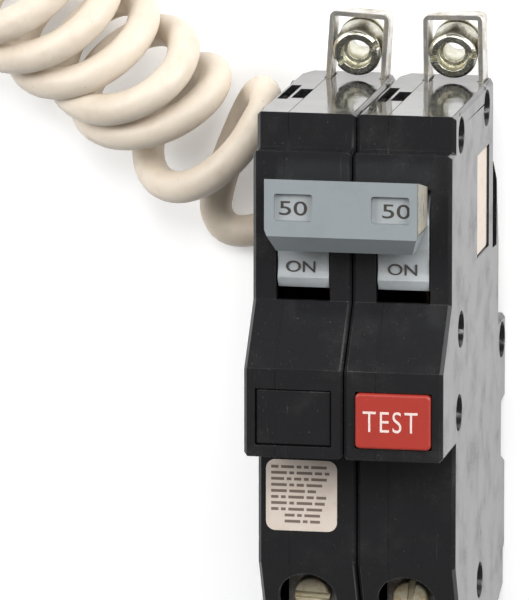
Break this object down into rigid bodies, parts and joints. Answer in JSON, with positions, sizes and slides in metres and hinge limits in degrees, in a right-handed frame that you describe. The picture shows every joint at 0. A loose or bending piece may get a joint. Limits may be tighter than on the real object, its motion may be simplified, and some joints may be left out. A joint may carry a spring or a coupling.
{
  "type": "gfci breaker",
  "caption": "Ground fault circuit breaker with tied handles, a red test button, line straps with captive sleeve nuts, load lugs and a coiled neutral pigtail.",
  "frame": {"origin": "under the middle of the breaker, on the surface that it lies on, without its free pigtail", "axes": "+Y towards the line end, +Z out of the handle side, +X across the poles towards the pole with the test button"},
  "size_m": [0.1083, 0.1565, 0.0765],
  "materials": {
    "case_plastic": "glossy black thermoset, lightly scuffed",
    "handle_plastic": "satin blue-grey",
    "red_plastic": "satin red",
    "label_paper": "printed cream label",
    "tinned_copper": "tinned, tarnished",
    "zinc_steel": "zinc plated, worn",
    "steel": "plain steel",
    "copper": "bare copper",
    "silver_contact": "silver alloy",
    "board_green": "circuit board",
    "winding": "enamelled winding",
    "dark_plastic": "moulded black",
    "cord_jacket": "aged white vinyl, specked"
  },
  "bodies": {
    "case": {"blank_button_plate": "case_plastic", "board_components": "dark_plastic", "case_rivets": "steel", "circuit_board": "board_green", "contact_arm_pins": "steel", "current_transformer": "winding", "handle_pins": "steel", "left_arc_chute": "steel", "left_bimetal": "steel", "left_braid": "copper", "left_case_base": "case_plastic", "left_case_cover": "case_plastic", "left_cradle_pin": "steel", "left_fixed_contact": "silver_contact", "left_line_strap": "tinned_copper", "left_load_lug": "tinned_copper", "left_magnet_yoke": "steel", "left_toggle_spring": "steel", "pigtail_bare_end": "copper", "pigtail_coil": "cord_jacket", "pigtail_grommet": "dark_plastic", "pigtail_lead": "cord_jacket", "pigtail_tail": "cord_jacket", "rating_label": "label_paper", "right_arc_chute": "steel", "right_bimetal": "steel", "right_braid": "copper", "right_case_base": "case_plastic", "right_case_cover": "case_plastic", "right_cradle_pin": "steel", "right_fixed_contact": "silver_contact", "right_line_strap": "tinned_copper", "right_load_lug": "tinned_copper", "right_magnet_yoke": "steel", "right_toggle_spring": "steel", "side_label": "label_paper", "solenoid_coil": "winding", "test_contact": "copper"},
    "handle": {"left_handle": "handle_plastic", "right_handle": "handle_plastic", "handle_tie_bar": "handle_plastic"},
    "left_arm": {"left_contact_arm": "copper", "left_moving_contact": "silver_contact"},
    "right_arm": {"right_contact_arm": "copper", "right_moving_contact": "silver_contact"},
    "button": {"test_button": "red_plastic", "test_button_spring": "steel"},
    "left_screw": {"left_load_screw": "zinc_steel"},
    "right_screw": {"right_load_screw": "zinc_steel"},
    "left_sleeve": {"left_sleeve_nut": "zinc_steel"},
    "right_sleeve": {"right_sleeve_nut": "zinc_steel"},
    "plunger": {"solenoid_plunger": "steel"},
    "trip": {"trip_bar": "dark_plastic"},
    "left_trip_lever": {"left_cradle": "steel"},
    "right_trip_lever": {"right_cradle": "steel"},
    "left_clapper": {"left_armature": "steel"},
    "right_clapper": {"right_armature": "steel"}
  },
  "joints": [
    {"name": "handle_swing", "type": "hinge", "parent": "case", "child": "handle", "pos_m": [0, 0.022, 0.05], "axis": [1, 0, 0], "range_deg": [0, 30]},
    {"name": "left_arm_swing", "type": "hinge", "parent": "case", "child": "left_arm", "pos_m": [-0.00955, 0.024, 0.043], "axis": [1, 0, 0], "range_deg": [-25, 0]},
    {"name": "left_load_screw_turn", "type": "hinge", "parent": "case", "child": "left_screw", "pos_m": [-0.01005, -0.0477, 0.05], "axis": [0, 0, 1], "continuous": true},
    {"name": "left_sleeve_turn", "type": "hinge", "parent": "case", "child": "left_sleeve", "pos_m": [-0.00688, 0.05299, 0.0176], "axis": [-0.0158, -0.2583, 0.9659], "continuous": true},
    {"name": "left_trip_lever_swing", "type": "hinge", "parent": "case", "child": "left_trip_lever", "pos_m": [-0.00545, 0.0135, 0.034], "axis": [1, 0, 0], "range_deg": [-8, 0]},
    {"name": "left_clapper_swing", "type": "hinge", "parent": "case", "child": "left_clapper", "pos_m": [-0.00805, -0.0071, 0.0275], "axis": [1, 0, 0], "range_deg": [0, 4], "stiffness_Nm_per_rad": 0.002, "springref_deg": -11.46},
    {"name": "right_arm_swing", "type": "hinge", "parent": "case", "child": "right_arm", "pos_m": [0.0095, 0.024, 0.043], "axis": [1, 0, 0], "range_deg": [-25, 0]},
    {"name": "right_load_screw_turn", "type": "hinge", "parent": "case", "child": "right_screw", "pos_m": [0.009, -0.0477, 0.05], "axis": [0, 0, 1], "continuous": true},
    {"name": "right_sleeve_turn", "type": "hinge", "parent": "case", "child": "right_sleeve", "pos_m": [0.0117, 0.053, 0.0176], "axis": [0.0045, -0.2588, 0.9659], "continuous": true},
    {"name": "right_trip_lever_swing", "type": "hinge", "parent": "case", "child": "right_trip_lever", "pos_m": [0.0136, 0.0135, 0.034], "axis": [1, 0, 0], "range_deg": [-8, 0]},
    {"name": "right_clapper_swing", "type": "hinge", "parent": "case", "child": "right_clapper", "pos_m": [0.011, -0.0071, 0.0275], "axis": [1, 0, 0], "range_deg": [0, 4], "stiffness_Nm_per_rad": 0.002, "springref_deg": -11.46},
    {"name": "test_button_press", "type": "slide", "parent": "case", "child": "button", "axis": [0, 0, -1], "range_m": [0, 0.0018], "stiffness_N_per_m": 300, "springref_m": -0.002, "deforming": ["test_button_spring"]},
    {"name": "plunger_slide", "type": "slide", "parent": "case", "child": "plunger", "axis": [0, 1, 0], "range_m": [0, 0.0025], "stiffness_N_per_m": 40, "springref_m": -0.002},
    {"name": "trip_bar_turn", "type": "hinge", "parent": "case", "child": "trip", "pos_m": [0, -0.0015, 0.024], "axis": [1, 0, 0], "range_deg": [-12, 0], "stiffness_Nm_per_rad": 0.004, "springref_deg": 11.46}
  ],
  "couplings": [
    {"joint": "left_arm_swing", "follows": "handle_swing", "ratio": -0.8333},
    {"joint": "right_arm_swing", "follows": "handle_swing", "ratio": -0.8333}
  ]
}
